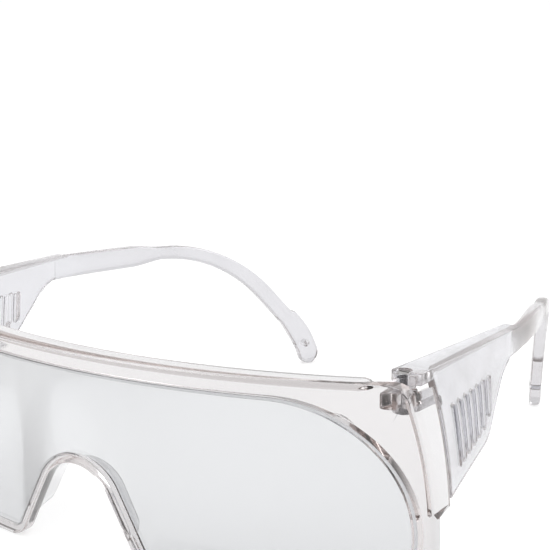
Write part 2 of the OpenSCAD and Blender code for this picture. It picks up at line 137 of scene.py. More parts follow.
ARM_H = 6.8
ARM_REAR_H = 6.0
WAIST_H = 3.7
HOOK_H = 4.9
TAPER_START = 27
TAPER_LEN = 11
ARM_T = 3
TIP_T = 3.2
ARM_EDGE_R = 0.9
ARM_LEVEL = 37
ARM_TURN_START = 7
ARM_TURN_END = 26
ARM_TURN_R = 200
ARM_FALL = 1.8
BEND_R = 52
HOOK_SLOPE = 48
TIP_BEND_R = 28
TIP_SLOPE = 72
PADDLE_LEN = 16
SHOULDER_LEN = 2
PADDLE_R = 3.3
CORD_R = 1.1
CORD_FROM_END = 7

# Roundings of the moulded edges, and the overlap of shapes that are joined
EDGE_R = 0.35
BROW_EDGE_R = 1.2
FINE_EDGE_R = 0.12
FUSE = 0.5
CUT = 1

# Angles of the rings round an edge
EDGE_STEPS = 3
EDGE_TURNS = (30, 60, 90)
FRONT_TURNS = (15, 30, 45, 60, 75, 90)
# How far the middle of a rounding stands off its two faces, as a share of its radius
MID_EDGE = 0.3


def lerp(a, b, t):
    return a + (b - a) * t


def clamp01(t):
    return max(0.0, min(1.0, t))


def smooth01(t):
    t = clamp01(t)
    return t * t * (3 - 2 * t)


def sind(a):
    return math.sin(math.radians(a))


def cosd(a):
    return math.cos(math.radians(a))


def tand(a):
    return math.tan(math.radians(a))


def rise(r, run):
    """Height of a circle over a run from its centre."""
    return math.sqrt(max(0.0, r * r - run * run))


def wrap_y(x, depth):
    """Place along Y of the front's wrap, a depth behind its face."""
    return WRAP_R - rise(WRAP_R - depth, x)


# Derived sizes, as in the solids
FRONT_HALF_W = TOP_HALF_W + SIDE_BULGE
SIDE_RISE = FRONT_H - LOWER_CORNER_R
SIDE_R = (SIDE_RISE ** 2 + SIDE_BULGE ** 2) / (2 * SIDE_BULGE)
SIDE_CENTRE = (FRONT_HALF_W - SIDE_R, LOWER_CORNER_R)
UPPER_CORNER_Z = FRONT_H - UPPER_CORNER_R
UPPER_CORNER = (
    SIDE_CENTRE[0] + rise(SIDE_R - UPPER_CORNER_R, UPPER_CORNER_Z - SIDE_CENTRE[1]),
    UPPER_CORNER_Z,
)
UPPER_CORNER_A = math.degrees(
    math.atan2(UPPER_CORNER[1] - SIDE_CENTRE[1], UPPER_CORNER[0] - SIDE_CENTRE[0]))
LOWER_CORNER = (FRONT_HALF_W - LOWER_CORNER_R, LOWER_CORNER_R)
WINDOW_HALF_W = FRONT_HALF_W - SIDE_RIM_W
WINDOW_CENTRE_Z = FRONT_H - BROW_H - WINDOW_CORNER_R
WINDOW_LOW_R = WINDOW_CENTRE_Z - LOW_RIM_W
WINDOW_CORNER = (WINDOW_HALF_W - WINDOW_CORNER_R, WINDOW_CENTRE_Z)
WINDOW_LOW_CORNER = (WINDOW_HALF_W - WINDOW_LOW_R, WINDOW_CENTRE_Z)
NOSE_CENTRE = (0, NOSE_TOP_Z - NOSE_R)
FLANK_TOP = (NOSE_R * cosd(NOSE_SPREAD), NOSE_CENTRE[1] + NOSE_R * sind(NOSE_SPREAD))
FLANK_LEN = (FLANK_TOP[1] + FOOT_R * sind(NOSE_SPREAD) - FOOT_R) / cosd(NOSE_SPREAD)
FOOT = (FLANK_TOP[0] + FLANK_LEN * sind(NOSE_SPREAD) + FOOT_R * cosd(NOSE_SPREAD), FOOT_R)

TONGUE_Y = wrap_y(TOP_HALF_W, PLATE_T) + TONGUE_GAP
HINGE_X = TOP_HALF_W - HINGE_INSET
HINGE_Y = TONGUE_Y + HINGE_SET
SIDE_END_Y = HINGE_Y + SIDE_PAST_HINGE
SHIELD_START_Y = SIDE_END_Y + JOINT_GAP
SHIELD_END_Y = SHIELD_START_Y + SHIELD_LEN
BARREL_TOP = FRONT_H - BROW_T - HINGE_GAP
BARREL_BOTTOM = BARREL_TOP - BARREL_H
TOP_EAR_Z = BARREL_TOP + HINGE_GAP
HINGE_TOP = TOP_EAR_Z + TOP_EAR_H
LOW_EAR_TOP = BARREL_BOTTOM - HINGE_GAP
LOW_EAR_BOTTOM = LOW_EAR_TOP - LOW_EAR_H
HEAD_Z = HINGE_TOP - EAR_DROP - HEAD_H
ARM_TOP_Z = HINGE_TOP - FLANGE_FALL
FLANGE_LOW_Z = ARM_TOP_Z - FLANGE_REAR_H


# Meshes, whose points are joined where they are closer than this
JOIN_DIST = 1e-3
POST_SIDES = 48


def new_piece(name, points, faces):
    """A mesh object from points in millimetres, with its normals outwards and doubled points joined."""
    mesh = bpy.data.meshes.new(name)
    mesh.from_pydata([(x * MM, y * MM + BROW_Y, z * MM) for x, y, z in points], [], faces)
    work = bmesh.new()
    work.from_mesh(mesh)
    bmesh.ops.remove_doubles(work, verts=work.verts, dist=JOIN_DIST * MM)
    bmesh.ops.recalc_face_normals(work, faces=work.faces)
    work.to_mesh(mesh)
    work.free()
    piece = bpy.data.objects.new(name, mesh)
    bpy.context.scene.collection.objects.link(piece)
    return piece


def ring_faces(rings, count, closed):
    """Quads between rings of count points, and back to the first ring if closed."""
    faces = []
    for i in range(rings if closed else rings - 1):
        a, b = i * count, (i + 1) % rings * count
        for j in range(count):
            k = (j + 1) % count
            faces.append((a + j, a + k, b + k, b + j))
    return faces


def ladder(first, count):
    """Faces that close a ring, from its first point and its last one inwards."""
    return [
        (first + j, first + j + 1, first + count - 2 - j, first + count - 1 - j)
        for j in range(count // 2 - 1)
    ]


def loft(name, rings):
    """A solid through rings that have the same even number of points."""
    count = len(rings[0])
    faces = ring_faces(len(rings), count, False)
    faces += ladder(0, count) + ladder((len(rings) - 1) * count, count)
    return new_piece(name, [p for ring in rings for p in ring], faces)


def hoop(name, rings):
    """A closed tube whose last ring joins its first one."""
    return new_piece(name, [p for ring in rings for p in ring], ring_faces(len(rings), len(rings[0]), True))


def combine(piece, tools, operation):
    """Joins the tools to the piece with UNION, or cuts them out of it with DIFFERENCE."""
    for tool in tools:
        change = piece.modifiers.new("combine", "BOOLEAN")
        change.operation = operation
        change.solver = "MANIFOLD"
        change.object = tool
    graph = bpy.context.evaluated_depsgraph_get()
    mesh = bpy.data.meshes.new_from_object(piece.evaluated_get(graph))
    piece.modifiers.clear()
    piece.data = mesh
    for tool in tools:
        bpy.data.objects.remove(tool)


def mirrored_copy(piece, name):
    """The piece's mirror image across X = 0."""
    mesh = piece.data.copy()
    for vertex in mesh.vertices:
        vertex.co.x = -vertex.co.x
    mesh.flip_normals()
    copy = bpy.data.objects.new(name, mesh)
    bpy.context.scene.collection.objects.link(copy)
    return copy


def rounded_rect(x0, x1, z0, z1, r):
    """Points of a rectangle with round corners, from its lower left corner."""
    left, right, low, high = x0 + r, x1 - r, z0 + r, z1 - r
    points = []
    for cx, cz, start in ((left, low, 180), (right, low, 270), (right, high, 0), (left, high, 90)):
        for i in range(EDGE_STEPS + 1):
            a = start + 90 * i / EDGE_STEPS
            points.append((cx + r * cosd(a), cz + r * sind(a)))
    return points


def rounded_start(start, r=EDGE_R):
    """Places and insets of the rings round the first end of a solid."""
    return [(start + r * (1 - cosd(a)), r * (1 - sind(a))) for a in (0,) + EDGE_TURNS]


def edge_levels(low, high, r):
    """Heights and insets of a prism's rings, with its two ends rounded."""
    bottom = rounded_start(low, r)
    top = [(high - (level - low), inset) for level, inset in reversed(bottom)]
    return bottom + top


def block(name, low, high, r=EDGE_R):
    """A box with round edges between two corners."""
    rings = []
    for z, inset in edge_levels(low[2], high[2], r):
        outline = rounded_rect(low[0] + inset, high[0] - inset, low[1] + inset, high[1] - inset, r)
        rings.append([(x, y, z) for x, y in outline])
    return loft(name, rings)


def round_turns(sides):
    return [360 * j / sides for j in range(sides)]


def round_post(name, x, y, low, high, radius, r=EDGE_R):
    """An upright cylinder with round edges, or sharp ones where r is 0."""
    levels = edge_levels(low, high, r) if r else [(low, 0), (high, 0)]
    turns = round_turns(POST_SIDES)
    return loft(name, [
        [(x + (radius - inset) * cosd(a), y + (radius - inset) * sind(a), z) for a in turns]
        for z, inset in levels])


# Outlines of the front, seen along Y, as right halves from the middle of the top to the middle of the nose
STEPS = {
    "top": 30, "shoulder": 18, "upper_corner": 8, "side": 28, "lower_corner": 16,
    "bottom": 24, "foot": 10, "flank": 12, "arch": 14,
}
# Angles round the window's corner that lie opposite the ends of the front's upper corner
SHOULDER_A = 52
CORNER_A = 43


def arc(centre, r, start, end, count):
    """Points of a round stretch without its last one."""
    turns = [start + (end - start) * i / count for i in range(count)]
    return [(centre[0] + r * cosd(a), centre[1] + r * sind(a)) for a in turns]


def line(start, end, count):
    """Points of a straight stretch without its last one."""
    return [(lerp(start[0], end[0], i / count), lerp(start[1], end[1], i / count)) for i in range(count)]


def nose_half(inset):
    """The nose from its foot to its middle, set back from the edge."""
    foot = arc(FOOT, FOOT_R - inset, 270, 180 + NOSE_SPREAD, STEPS["foot"])
    arch = arc(NOSE_CENTRE, NOSE_R + inset, NOSE_SPREAD, 90, STEPS["arch"])
    foot_end = arc(FOOT, FOOT_R - inset, 180 + NOSE_SPREAD, 0, 1)[0]
    return foot + line(foot_end, arch[0], STEPS["flank"]) + arch + [(0, NOSE_TOP_Z + inset)]


@cache
def front_half(inset):
    """The front's outline, set back from its edge."""
    top = FRONT_H - inset
    return (
        line((0, top), (WINDOW_CORNER[0], top), STEPS["top"])
        + line((WINDOW_CORNER[0], top), (UPPER_CORNER[0], top), STEPS["shoulder"])
        + arc(UPPER_CORNER, UPPER_CORNER_R - inset, 90, UPPER_CORNER_A, STEPS["upper_corner"])
        + arc(SIDE_CENTRE, SIDE_R - inset, UPPER_CORNER_A, 0, STEPS["side"])
        + arc(LOWER_CORNER, LOWER_CORNER_R - inset, 0, -90, STEPS["lower_corner"])
        + line((LOWER_CORNER[0], inset), (FOOT[0], inset), STEPS["bottom"])
        + nose_half(inset))


@cache
def window_half(grow):
    """The window's outline, or the lens's and its seat's when it is grown."""
    r, low_r = WINDOW_CORNER_R + grow, WINDOW_LOW_R + grow
    top, bottom = WINDOW_CENTRE_Z + r, WINDOW_CENTRE_Z - low_r
    return (
        line((0, top), (WINDOW_CORNER[0], top), STEPS["top"])
        + arc(WINDOW_CORNER, r, 90, SHOULDER_A, STEPS["shoulder"])
        + arc(WINDOW_CORNER, r, SHOULDER_A, CORNER_A, STEPS["upper_corner"])
        + arc(WINDOW_CORNER, r, CORNER_A, 0, STEPS["side"])
        + arc(WINDOW_LOW_CORNER, low_r, 0, -90, STEPS["lower_corner"])
        + line((WINDOW_LOW_CORNER[0], bottom), (FOOT[0], bottom), STEPS["bottom"])
        + nose_half(LOW_RIM_W - grow))


SEGMENTS = [name for name, count in STEPS.items() for _ in range(count)] + ["arch"]


def whole(half):
    """A full loop from a right half of points (x, y, z)."""
    return half + [(-x, y, z) for x, y, z in reversed(half[1:-1])]


# Walls behind the rim: the brow's flat top, the sides and the nose flange, each with its share at a point
BROW_REACH = UPPER_CORNER[0] - PLATE_T
BROW_FADE = 3
NOSE_FADE = 3
PLAIN_WALL_T = 0.8
WALL_ROOT = 0.1
# Digits to which insets are rounded, so that outlines can be used again
INSET_DIGITS = 4
GROW_DIGITS = 3


def wall_shares():
    """How far each of the three walls stands at each point of the right half: brow, side and nose."""
    shares = []
    for segment, (x, z) in zip(SEGMENTS, front_half(0)):
        brow = smooth01((BROW_REACH - x) / BROW_FADE) if segment in ("top", "shoulder") else 0
        side = 1 if segment == "side" and z > SIDE_BOTTOM_Z else 0
        nose = smooth01((z - FOOT_R) / NOSE_FADE) if segment in ("flank", "arch") else 0
        shares.append((brow, side, nose))
    return shares


WALLS = wall_shares()


def wall_level(inner, offset, root, reach, back_off):
    """Half loop of the walls behind the rim, on their outer faces, or on their inner ones if inner is 1.
    It is set in by the offset, and by the root where there is no wall. reach says how much of the wall's
    depth is taken, and back_off how much of the rounding at its rear edge."""
    points = []
    for k, (brow, side, nose) in enumerate(WALLS):
        plain = 1 - brow - side - nose
        step = side * SIDE_STEP + nose * NOSE_STEP + plain * EDGE_R
        thick = brow * BROW_T + side * SIDE_T + nose * NOSE_FLANGE_T + plain * PLAIN_WALL_T
        x, z = front_half_at(step + inner * thick + offset + root * plain, k)
        rim = wrap_y(x, PLATE_T)
        depth = (
            brow * (wrap_y(x, BROW_DEPTH) - rim)
            + side * (SIDE_END_Y - rim)
            + nose * (PLATE_T + NOSE_FLANGE_DEPTH - rim))
        points.append((x, rim + reach * max(0.0, depth - back_off * EDGE_R), z))
    return points


def front_half_at(inset, k):
    """One point of the front's outline, set back from its edge."""
    return front_half(round(inset, INSET_DIGITS))[k]


def on_wrap(half, depth):
    """Half loop on the front's wrap, at one depth or at a depth for each point."""
    depths = depth if isinstance(depth, list) else [depth] * len(half)
    return [(x, wrap_y(x, d), z) for (x, z), d in zip(half, depths)]


def catch_shares():
    """How far the lens catches stand at each point of the right half."""
    spots = [
        arc(WINDOW_CORNER, WINDOW_CORNER_R + LIP_W, UPPER_CATCH_A, 0, 1)[0],
        arc(WINDOW_LOW_CORNER, WINDOW_LOW_R + LIP_W, -LOWER_CATCH_A, 0, 1)[0],
    ]
    return [
        max(smooth01((CATCH_R - math.dist(point, spot)) / FUSE) for spot in spots)
        for point in window_half(LIP_W)
    ]


CATCHES = catch_shares()
FACE_STEPS = 6
CATCH_REACH = 0.9
CATCH_GAP = 0.06


def catch_level(plain_grow, catch_grow, plain_depth, catch_depth):
    """Half loop behind the seat's edge, which leans over the lens at each catch."""
    half, depths = [], []
    for k, share in enumerate(CATCHES):
        grow = round(lerp(plain_grow, catch_grow, share), GROW_DIGITS) if share else plain_grow
        half.append(window_half(grow)[k])
        depths.append(PLATE_T + lerp(plain_depth, catch_depth, share))
    return on_wrap(half, depths)


def between(first, last, t, depth):
    """Half loop a share of the way between two others, on the front's wrap."""
    return on_wrap([(lerp(a[0], b[0], t), lerp(a[2], b[2], t)) for a, b in zip(first, last)], depth)


def front_edge(a):
    """Half loop round the rim's front edge, which is rounder along the brow."""
    radii = [lerp(EDGE_R, BROW_EDGE_R, brow) for brow, _, _ in WALLS]
    half = [front_half_at(r * (1 - sind(a)), k) for k, r in enumerate(radii)]
    return on_wrap(half, [r * (1 - cosd(a)) for r in radii])


# Rings along the walls: inner, offset, root, reach and back_off, as wall_level takes them
WALL_RINGS = (
    (0, 0, 0, 0, 0),
    (0, 0, WALL_ROOT, 1, 1),
    (0, EDGE_R * MID_EDGE, 0, 1, MID_EDGE),
    (0, EDGE_R, 0, 1, 0),
    (1, -EDGE_R, 0, 1, 0),
    (1, -EDGE_R * MID_EDGE, 0, 1, MID_EDGE),
    (1, 0, 0, 1, 1),
    (1, 0, WALL_ROOT, 0, 0),
)
# Rings round the seat's rear edge: shares of its rounding out and in, then a catch's size and depth
SEAT_EDGE = LIP_W + FINE_EDGE_R
SEAT_RINGS = (
    (0.6, 0, SEAT_EDGE, CATCH_H),
    (0.4, 0.1, LIP_W - CATCH_REACH, CATCH_H),
    (0.2, 0.3, LIP_W - CATCH_REACH, CATCH_GAP),
    (0, 1, LIP_W, CATCH_GAP),
)


def rim_levels():
    """Half loops of the rim's section: its face, its edge, the walls, the lens's seat and the lip."""
    inner, outer = on_wrap(window_half(EDGE_R), 0), front_edge(0)
    levels = [between(inner, outer, i / FACE_STEPS, 0) for i in range(FACE_STEPS + 1)]
    levels += [front_edge(a) for a in FRONT_TURNS]
    levels.append(on_wrap(front_half(0), PLATE_T - EDGE_R))
    levels += [wall_level(*ring) for ring in WALL_RINGS]
    back_outer = wall_level(1, 2 * WALL_ROOT, 0, 0, 0)
    back_inner = catch_level(SEAT_EDGE, SEAT_EDGE + WALL_ROOT, 0, 0)
    levels += [between(back_outer, back_inner, i / FACE_STEPS, PLATE_T) for i in range(FACE_STEPS + 1)]
    for outwards, inwards, catch_grow, catch_depth in SEAT_RINGS:
        grow = LIP_W + outwards * FINE_EDGE_R
        levels.append(catch_level(grow, catch_grow, -inwards * FINE_EDGE_R, catch_depth))
    levels.append(on_wrap(window_half(LIP_W), LIP_T))
    levels.append(on_wrap(window_half(0), LIP_T))
    for a in reversed(EDGE_TURNS):
        levels.append(on_wrap(window_half(EDGE_R * (1 - sind(a))), EDGE_R * (1 - cosd(a))))
    return levels


def hinge_barrel():
    """Barrel of the right hinge, with its webs from the rim and the side wall."""
    web_y = wrap_y(HINGE_X, PLATE_T) - FUSE
    side_web_end = side_edge(BARREL_BOTTOM) - SIDE_STEP - SIDE_T + FUSE / 2
    barrel = round_post("barrel", HINGE_X, HINGE_Y, BARREL_BOTTOM, BARREL_TOP, BARREL_R)
    web = block(
        "web", (HINGE_X - WEB_W / 2, web_y, BARREL_BOTTOM), (HINGE_X + WEB_W / 2, HINGE_Y, BARREL_TOP))
    side_web = block(
        "side_web",
        (HINGE_X, HINGE_Y - SIDE_WEB_SET - SIDE_WEB_W, BARREL_BOTTOM),
        (side_web_end, HINGE_Y - SIDE_WEB_SET, BARREL_TOP))
    combine(barrel, [web, side_web], "UNION")
    return barrel


def side_edge(z):
    return SIDE_CENTRE[0] + rise(SIDE_R, z - SIDE_CENTRE[1])


def make_front():
    front = hoop("front_frame_shell", [whole(level) for level in rim_levels()])
    barrel = hinge_barrel()
    combine(front, [barrel, mirrored_copy(barrel, "left_barrel")], "UNION")
    low, high, r = BARREL_BOTTOM - CUT, BARREL_TOP + CUT, SCREW_R + RUNNING_GAP
    bores = [round_post("bore", side * HINGE_X, HINGE_Y, low, high, r, 0) for side in (1, -1)]
    combine(front, bores, "DIFFERENCE")
    return front


# The lens: upright columns between its lower and upper edges, on the wrap
LENS_EDGE_R = 0.25


def lens_top(x, grow):
    """Height of the lens's upper edge."""
    run = abs(x) - WINDOW_CORNER[0]
    r = WINDOW_CORNER_R + grow
    return WINDOW_CENTRE_Z + (r if run < 0 else rise(r, run))


def lens_ring(grow, depth):
    """Loop round the lens: its lower edge from left to right, then its upper edge back."""
    corner_start = sum(STEPS[name] for name in ("top", "shoulder", "upper_corner", "side"))
    low_right = list(reversed(window_half(grow)[corner_start:]))
    low = [(-x, z) for x, z in reversed(low_right[1:])] + low_right
    high = [(x, lens_top(x, grow)) for x, z in reversed(low)]
    return on_wrap(low + high, depth)


def make_lens():
    grow = LIP_W - SEAT_GAP
    edges = edge_levels(LIP_T + SEAT_GAP, PLATE_T, LENS_EDGE_R)
    return loft("lens_shell", [lens_ring(grow - inset, depth) for depth, inset in edges])


# The temple
def temple_x(y):
    return TOP_HALF_W - tand(TOE_IN) * (y - SHIELD_START_Y)


def shield_x(y, z):
    share = clamp01((SHIELD_END_Y - y) / SHIELD_LEN)
    return temple_x(y) - SIDE_STEP + share * (side_edge(z) - TOP_HALF_W)


def flange_share(y):
    return (y - TONGUE_Y) / (SHIELD_END_Y - TONGUE_Y)


# Largest corners of thin sections, as shares of their height or thickness
FLANGE_CORNER = 1 / 3
ARM_CORNER = 1 / 2.2


def flange_section(y, inset):
    """Section of the flange along the temple's top, with the tongue over the hinge."""
    outer = temple_x(y) + FLANGE_PROUD - SIDE_STEP
    inner = outer - lerp(FLANGE_FRONT_W, FLANGE_REAR_W, flange_share(y))
    low = lerp(TOP_EAR_Z, FLANGE_LOW_Z, smooth01((y - SHIELD_START_Y) / TONGUE_RUN))
    top = lerp(HINGE_TOP, ARM_TOP_Z, flange_share(y))
    corner = min(EDGE_R, (top - low) * FLANGE_CORNER)
    outline = rounded_rect(inner + inset, outer - inset, low + inset, top - inset, corner)
    return [(x, y, z) for x, z in outline]


FLANGE_STEPS = 14


def make_flange():
    stations = rounded_start(TONGUE_Y)
    stops = (TONGUE_Y + EDGE_R, SHIELD_START_Y + TONGUE_RUN, SHIELD_END_Y + CUT)
    for start, end in zip(stops, stops[1:]):
        stations += [(lerp(start, end, i / FLANGE_STEPS), 0) for i in range(1, FLANGE_STEPS + 1)]
    return loft("flange", [flange_section(y, inset) for y, inset in stations])


ARM_BOTTOM_Z = ARM_TOP_Z - ARM_H + FUSE
SLOPE_END = (
    SHIELD_END_Y - ARM_CORNER_R * sind(SHIELD_SLOPE),
    ARM_BOTTOM_Z - ARM_CORNER_R * (1 - cosd(SHIELD_SLOPE)),
)
CORNER_RUN = SHIELD_CORNER_R * (sind(SHIELD_SLOPE) - sind(SHIELD_SWEEP))
CORNER_DROP = SHIELD_CORNER_R * (cosd(SHIELD_SWEEP) - cosd(SHIELD_SLOPE))
SWEEP_RISE = tand(SHIELD_SWEEP) * (SLOPE_END[0] - CORNER_RUN - SHIELD_START_Y)
SLOPE_RISE = SLOPE_END[1] - CORNER_DROP - SWEEP_RISE - SHIELD_BOTTOM_Z
SLOPE_RUN = SLOPE_RISE / (tand(SHIELD_SLOPE) - tand(SHIELD_SWEEP))
SLOPE_START = (SLOPE_END[0] - SLOPE_RUN, SLOPE_END[1] - SLOPE_RUN * tand(SHIELD_SLOPE))
CORNER_CENTRE = (
    SLOPE_START[0] - SHIELD_CORNER_R * sind(SHIELD_SLOPE),
    SLOPE_START[1] + SHIELD_CORNER_R * cosd(SHIELD_SLOPE),
)
SWEEP_END_Y = CORNER_CENTRE[0] + SHIELD_CORNER_R * sind(SHIELD_SWEEP)


def shield_low(y):
    """Lower edge of the side shield: sweeping up, round, sloping and round again into the arm."""
    if y < SWEEP_END_Y:
        return SHIELD_BOTTOM_Z + (y - SHIELD_START_Y) * tand(SHIELD_SWEEP)
    if y < SLOPE_START[0]:
        return CORNER_CENTRE[1] - rise(SHIELD_CORNER_R, y - CORNER_CENTRE[0])
    if y < SLOPE_END[0]:
        return SLOPE_END[1] - (SLOPE_END[0] - y) * tand(SHIELD_SLOPE)
    return ARM_BOTTOM_Z - ARM_CORNER_R + rise(ARM_CORNER_R, SHIELD_END_Y - y)


SHIELD_LEVELS = 14
SHIELD_STEPS = 72
# Length over which the shield's end tucks into the arm
TUCK_LEN = 4


def shield_section(y, inset):
    """Section of the side shield: down its outer face, round its lower edge and up its inner face."""
    low, top = shield_low(y) + inset, FLANGE_LOW_Z + FLANGE_REAR_H / 2
    levels = [lerp(top, low + EDGE_R, j / SHIELD_LEVELS) for j in range(SHIELD_LEVELS + 1)]
    levels += [low + EDGE_R * (1 - sind(a)) for a in EDGE_TURNS]
    tucks = [0] * (SHIELD_LEVELS + 1) + [EDGE_R * (1 - cosd(a)) for a in EDGE_TURNS]
    outer = [(shield_x(y, z) - inset - tuck, y, z) for z, tuck in zip(levels, tucks)]
    inner = [(shield_x(y, z) - SHIELD_T + inset + tuck, y, z) for z, tuck in zip(levels, tucks)]
    return outer + inner[::-1]


def make_shield():
    stations = rounded_start(SHIELD_START_Y)
    first = stations[-1][0]
    for i in range(1, SHIELD_STEPS + 1):
        y = lerp(first, SHIELD_END_Y, i / SHIELD_STEPS)
        stations.append((y, EDGE_R * smooth01((y - SHIELD_END_Y) / TUCK_LEN + 1)))
    return loft("shield", [shield_section(y, inset) for y, inset in stations])


# The arm's route: heights from a side curve, places from a curve seen from above
ARM_LAP = 2
ARM_INSET = 0.1
ARM_START = (
    temple_x(SHIELD_END_Y) - SIDE_STEP - ARM_INSET - ARM_T / 2,
    SHIELD_END_Y - ARM_LAP,
    ARM_TOP_Z - ARM_H / 2,
)
ARM_TURN_LEN = ARM_TURN_R * math.radians(ARM_TURN_END - ARM_TURN_START)
BEND_LEN = BEND_R * math.radians(HOOK_SLOPE - ARM_FALL)
TIP_LEN = TIP_BEND_R * math.radians(TIP_SLOPE - HOOK_SLOPE)
LEVEL_DROP = ARM_LEVEL * sind(ARM_FALL)
BEND_DROP = BEND_R * (cosd(ARM_FALL) - cosd(HOOK_SLOPE))
TIP_DROP = TIP_BEND_R * (cosd(HOOK_SLOPE) - cosd(TIP_SLOPE))
SHANK_LEN = (ARM_START[2] - LEVEL_DROP - BEND_DROP - TIP_DROP - PADDLE_R) / sind(HOOK_SLOPE)
HOOK_S = ARM_LEVEL + BEND_LEN
TIP_S = HOOK_S + SHANK_LEN
END_S = TIP_S + TIP_LEN
PADDLE_S = END_S - PADDLE_LEN
CORD_S = END_S + PADDLE_R - CORD_FROM_END


def route_slope(s):
    if s <= ARM_LEVEL:
        return ARM_FALL
    if s <= HOOK_S:
        return lerp(ARM_FALL, HOOK_SLOPE, (s - ARM_LEVEL) / BEND_LEN)
    if s <= TIP_S:
        return HOOK_SLOPE
    return lerp(HOOK_SLOPE, TIP_SLOPE, clamp01((s - TIP_S) / TIP_LEN))


def route(s):
    """How far the route has run and dropped at a distance along it."""
    slope = route_slope(s)
    if s <= ARM_LEVEL:
        return s * cosd(ARM_FALL), s * sind(ARM_FALL)
    if s <= HOOK_S:
        start, r, first = route(ARM_LEVEL), BEND_R, ARM_FALL
    elif s <= TIP_S:
        run, drop = route(HOOK_S)
        return run + (s - HOOK_S) * cosd(HOOK_SLOPE), drop + (s - HOOK_S) * sind(HOOK_SLOPE)
    elif s <= END_S:
        start, r, first = route(TIP_S), TIP_BEND_R, HOOK_SLOPE
    else:
        run, drop = route(END_S)
        return run + (s - END_S) * cosd(TIP_SLOPE), drop + (s - END_S) * sind(TIP_SLOPE)
    return start[0] + r * (sind(slope) - sind(first)), start[1] + r * (cosd(first) - cosd(slope))


def arm_frame(s):
    """Centre of the arm at a distance along it, with its sideways and upward directions."""
    run, drop = route(s)
    turn = lerp(ARM_TURN_START, ARM_TURN_END, clamp01(run / ARM_TURN_LEN))
    past = max(0.0, run - ARM_TURN_LEN)
    x = ARM_TURN_R * (cosd(turn) - cosd(ARM_TURN_START)) - past * sind(ARM_TURN_END)
    y = ARM_TURN_R * (sind(turn) - sind(ARM_TURN_START)) + past * cosd(ARM_TURN_END)
    slope = route_slope(s)
    centre = Vector(ARM_START) + Vector((x, y, -drop))
    side = Vector((cosd(turn), sind(turn), 0))
    up = Vector((-sind(turn) * sind(slope), cosd(turn) * sind(slope), cosd(slope)))
    return centre, side, up


def arm_height(s):
    """Height of the arm's section, which tapers to a waist and grows again on the hook."""
    waist_s = TAPER_START + TAPER_LEN
    if s < TAPER_START:
        return lerp(ARM_H, ARM_REAR_H, s / TAPER_START)
    if s < waist_s:
        return lerp(ARM_REAR_H, WAIST_H, smooth01((s - TAPER_START) / TAPER_LEN))
    return lerp(WAIST_H, HOOK_H, clamp01((s - waist_s) / (HOOK_S - waist_s)))


# The arm grows out of the shield's thickness, and its end thins a little
ROOT_T = 1.5
ROOT_LEN = 26
END_THINNING = 0.35


def arm_ring(s):
    """Section of the arm, square to its route, widened into the tip and rounded at its end."""
    centre, side, up = arm_frame(s)
    end = 1 if s <= END_S else rise(PADDLE_R, s - END_S) / PADDLE_R
    half = arm_height(s) / 2
    low = -end * lerp(half, PADDLE_R, smooth01((s - PADDLE_S) / (PADDLE_LEN / 2)))
    high = end * lerp(half, PADDLE_R, smooth01((s - PADDLE_S) / SHOULDER_LEN))
    thin = lerp(ARM_T, TIP_T, clamp01(s / HOOK_S)) / 2 * lerp(1, end, END_THINNING)
    inner = lerp(thin - ROOT_T, -thin, smooth01(s / ROOT_LEN))
    corner = min(ARM_EDGE_R, (high - low) * ARM_CORNER, (thin - inner) * ARM_CORNER)
    return [tuple(centre + side * u + up * v) for u, v in rounded_rect(inner, thin, low, high, corner)]


ARM_STEP = 1.5
TIP_STEP = 0.5
END_TURNS = (15, 30, 45, 60, 72, 82)


def make_arm():
    body_count = int(PADDLE_S / ARM_STEP)
    tip_count = int(PADDLE_LEN / TIP_STEP)
    stations = [PADDLE_S * i / body_count for i in range(body_count)]
    stations += [PADDLE_S + PADDLE_LEN * i / tip_count for i in range(tip_count + 1)]
    stations += [END_S + PADDLE_R * sind(a) for a in END_TURNS]
    return loft("arm", [arm_ring(s) for s in stations])


def vent_y(i):
    return SHIELD_START_Y + VENT_SET + i * VENT_PITCH


def vent_top(i):
    return HINGE_TOP - VENT_DROP + i * VENT_RISE


def vent_low(i):
    return shield_low(vent_y(i)) + VENT_MARGIN


SLOT_TURNS = range(0, 181, 15)


def vent_slot(i):
    """Upright slot with round ends, through the side shield."""
    y, r = vent_y(i), VENT_W / 2
    outline = [(y + r * cosd(a), vent_top(i) - r + r * sind(a)) for a in SLOT_TURNS]
    outline += [(y - r * cosd(a), vent_low(i) + r - r * sind(a)) for a in SLOT_TURNS]
    near, far = TOP_HALF_W - 2 * SHIELD_T, FRONT_HALF_W + SHIELD_T
    return loft("slot", [[(x, py, pz) for py, pz in outline] for x in (near, far)])


RIB_SIDES = 20
RIB_LEVELS = 16
RIB_END_TURNS = (8, 30, 60, 90)


def vent_rib(i):
    """Half-round rib with round ends on the outside of the shield, between two slots."""
    y = vent_y(i) - VENT_PITCH / 2
    low, top = vent_low(i), vent_top(i)
    ends = [RIB_R * (1 - cosd(a)) for a in RIB_END_TURNS]
    levels = [low + e for e in ends]
    levels += [lerp(low + RIB_R, top - RIB_R, j / RIB_LEVELS) for j in range(1, RIB_LEVELS)]
    levels += [top - e for e in reversed(ends)]
    rings = []
    for z in levels:
        near_end = min(z - low, top - z)
        r = RIB_R if near_end >= RIB_R else rise(RIB_R, RIB_R - near_end)
        turns = round_turns(RIB_SIDES)
        rings.append([(shield_x(y, z) + r * cosd(a), y + r * sind(a), z) for a in turns])
    return loft("rib", rings)


